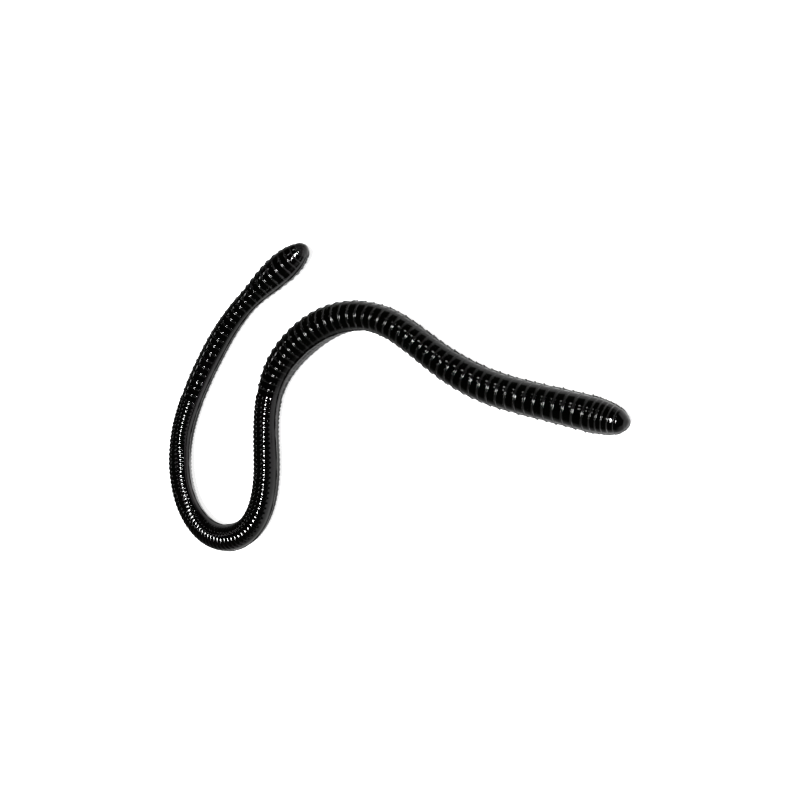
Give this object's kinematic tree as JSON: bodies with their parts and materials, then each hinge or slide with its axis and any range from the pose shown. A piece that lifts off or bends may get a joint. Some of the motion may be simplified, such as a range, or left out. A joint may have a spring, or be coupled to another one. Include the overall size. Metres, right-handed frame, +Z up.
{
  "type": "soft plastic fishing worm",
  "caption": "Straight-tail soft plastic fishing worm with a ringed body, finely ribbed middle, slim neck and bulb tail, lying in a loose S curve.",
  "frame": {"origin": "centre of the footprint on the surface the worm lies on", "axes": "+Z up from that surface, +X towards the nose end, +Y across the curve towards the tail bulb's side"},
  "size_m": [0.085, 0.05, 0.0051],
  "materials": {
    "soft_plastic": "glossy"
  },
  "bodies": {
    "nose_length": {"nose_length": "soft_plastic"},
    "front_length_01": {"front_length_01": "soft_plastic"},
    "front_length_02": {"front_length_02": "soft_plastic"},
    "front_length_03": {"front_length_03": "soft_plastic"},
    "front_length_04": {"front_length_04": "soft_plastic"},
    "front_length_05": {"front_length_05": "soft_plastic"},
    "front_length_06": {"front_length_06": "soft_plastic"},
    "front_length_07": {"front_length_07": "soft_plastic"},
    "front_length_08": {"front_length_08": "soft_plastic"},
    "mid_length_01": {"mid_length_01": "soft_plastic"},
    "mid_length_02": {"mid_length_02": "soft_plastic"},
    "mid_length_03": {"mid_length_03": "soft_plastic"},
    "mid_length_04": {"mid_length_04": "soft_plastic"},
    "mid_length_05": {"mid_length_05": "soft_plastic"},
    "mid_length_06": {"mid_length_06": "soft_plastic"},
    "mid_length_07": {"mid_length_07": "soft_plastic"},
    "mid_length_08": {"mid_length_08": "soft_plastic"},
    "mid_length_09": {"mid_length_09": "soft_plastic"},
    "mid_length_10": {"mid_length_10": "soft_plastic"},
    "mid_length_11": {"mid_length_11": "soft_plastic"},
    "neck_length_01": {"neck_length_01": "soft_plastic"},
    "neck_length_02": {"neck_length_02": "soft_plastic"},
    "neck_length_03": {"neck_length_03": "soft_plastic"},
    "tail_bulb": {"tail_bulb": "soft_plastic"}
  },
  "joints": [
    {"name": "bend_01_side", "type": "hinge", "parent": "nose_length", "child": "front_length_01", "pos_m": [0.03104, -0.00038, 0.00246], "axis": [0, 0, 1], "range_deg": [-24, 24], "stiffness_Nm_per_rad": 0.00028},
    {"name": "bend_02_lift", "type": "hinge", "parent": "front_length_01", "child": "front_length_02", "pos_m": [0.02402, 0.00133, 0.00247], "axis": [0.2847, 0.9586, 0], "range_deg": [-35, 24], "stiffness_Nm_per_rad": 0.000292},
    {"name": "bend_03_side", "type": "hinge", "parent": "front_length_02", "child": "front_length_03", "pos_m": [0.01729, 0.00403, 0.00245], "axis": [0, 0, 1], "range_deg": [-24, 24], "stiffness_Nm_per_rad": 0.000269},
    {"name": "bend_04_lift", "type": "hinge", "parent": "front_length_03", "child": "front_length_04", "pos_m": [0.01107, 0.00786, 0.00231], "axis": [0.5568, 0.8307, 0], "range_deg": [-35, 24], "stiffness_Nm_per_rad": 0.000213},
    {"name": "bend_05_side", "type": "hinge", "parent": "front_length_04", "child": "front_length_05", "pos_m": [0.00482, 0.01153, 0.00225], "axis": [0, 0, 1], "range_deg": [-24, 24], "stiffness_Nm_per_rad": 0.000199},
    {"name": "bend_06_lift", "type": "hinge", "parent": "front_length_05", "child": "front_length_06", "pos_m": [-0.00212, 0.013, 0.00238], "axis": [-0.016, 0.9999, 0], "range_deg": [-35, 24], "stiffness_Nm_per_rad": 0.000266},
    {"name": "bend_07_side", "type": "hinge", "parent": "front_length_06", "child": "front_length_07", "pos_m": [-0.00905, 0.01141, 0.00256], "axis": [0, 0, 1], "range_deg": [-24, 24], "stiffness_Nm_per_rad": 0.000338},
    {"name": "bend_08_lift", "type": "hinge", "parent": "front_length_07", "child": "front_length_08", "pos_m": [-0.01504, 0.00737, 0.00256], "axis": [-0.6956, 0.7185, 0], "range_deg": [-35, 24], "stiffness_Nm_per_rad": 0.000317},
    {"name": "bend_09_side", "type": "hinge", "parent": "front_length_08", "child": "mid_length_01", "pos_m": [-0.01906, 0.00124, 0.00226], "axis": [0, 0, 1], "range_deg": [-24, 24], "stiffness_Nm_per_rad": 0.000216},
    {"name": "bend_10_lift", "type": "hinge", "parent": "mid_length_01", "child": "mid_length_02", "pos_m": [-0.01991, -0.00399, 0.00219], "axis": [-0.9998, 0.0179, 0], "range_deg": [-35, 24], "stiffness_Nm_per_rad": 0.00024},
    {"name": "bend_11_side", "type": "hinge", "parent": "mid_length_02", "child": "mid_length_03", "pos_m": [-0.01976, -0.00932, 0.00219], "axis": [0, 0, 1], "range_deg": [-21, 24], "stiffness_Nm_per_rad": 0.00024},
    {"name": "bend_12_lift", "type": "hinge", "parent": "mid_length_03", "child": "mid_length_04", "pos_m": [-0.02018, -0.01462, 0.0022], "axis": [-0.9763, 0.2165, 0], "range_deg": [-35, 24], "stiffness_Nm_per_rad": 0.000244},
    {"name": "bend_13_side", "type": "hinge", "parent": "mid_length_04", "child": "mid_length_05", "pos_m": [-0.02238, -0.01941, 0.00221], "axis": [0, 0, 1], "range_deg": [-15, 24], "stiffness_Nm_per_rad": 0.000252},
    {"name": "bend_14_lift", "type": "hinge", "parent": "mid_length_05", "child": "mid_length_06", "pos_m": [-0.02671, -0.02235, 0.00226], "axis": [-0.2911, 0.9567, 0], "range_deg": [-14, 24], "stiffness_Nm_per_rad": 0.000274},
    {"name": "bend_15_side", "type": "hinge", "parent": "mid_length_06", "child": "mid_length_07", "pos_m": [-0.032, -0.02247, 0.00224], "axis": [0, 0, 1], "range_deg": [-10, 24], "stiffness_Nm_per_rad": 0.000248},
    {"name": "bend_16_lift", "type": "hinge", "parent": "mid_length_07", "child": "mid_length_08", "pos_m": [-0.03669, -0.0199, 0.00209], "axis": [0.6899, 0.7239, 0], "range_deg": [-14, 24], "stiffness_Nm_per_rad": 0.000194},
    {"name": "bend_17_side", "type": "hinge", "parent": "mid_length_08", "child": "mid_length_09", "pos_m": [-0.03958, -0.01545, 0.00204], "axis": [0, 0, 1], "range_deg": [-8, 24], "stiffness_Nm_per_rad": 0.000179},
    {"name": "bend_18_lift", "type": "hinge", "parent": "mid_length_09", "child": "mid_length_10", "pos_m": [-0.04053, -0.01023, 0.00203], "axis": [1, 0.0068, 0], "range_deg": [-14, 24], "stiffness_Nm_per_rad": 0.000176},
    {"name": "bend_19_side", "type": "hinge", "parent": "mid_length_10", "child": "mid_length_11", "pos_m": [-0.03975, -0.00498, 0.00204], "axis": [0, 0, 1], "range_deg": [-10, 24], "stiffness_Nm_per_rad": 0.000179},
    {"name": "bend_20_lift", "type": "hinge", "parent": "mid_length_11", "child": "neck_length_01", "pos_m": [-0.03772, -0.00002, 0.00204], "axis": [0.8902, -0.4556, 0], "range_deg": [-14, 24], "stiffness_Nm_per_rad": 0.000152},
    {"name": "bend_21_side", "type": "hinge", "parent": "neck_length_01", "child": "neck_length_02", "pos_m": [-0.03396, 0.00617, 0.00201], "axis": [0, 0, 1], "range_deg": [-15, 24], "stiffness_Nm_per_rad": 0.000123},
    {"name": "bend_22_lift", "type": "hinge", "parent": "neck_length_02", "child": "neck_length_03", "pos_m": [-0.02947, 0.01191, 0.00193], "axis": [0.7416, -0.6708, 0], "range_deg": [-14, 24], "stiffness_Nm_per_rad": 0.000101},
    {"name": "bend_23_side", "type": "hinge", "parent": "neck_length_03", "child": "tail_bulb", "pos_m": [-0.02412, 0.01675, 0.0019], "axis": [0, 0, 1], "range_deg": [-24, 24], "stiffness_Nm_per_rad": 0.000107}
  ]
}
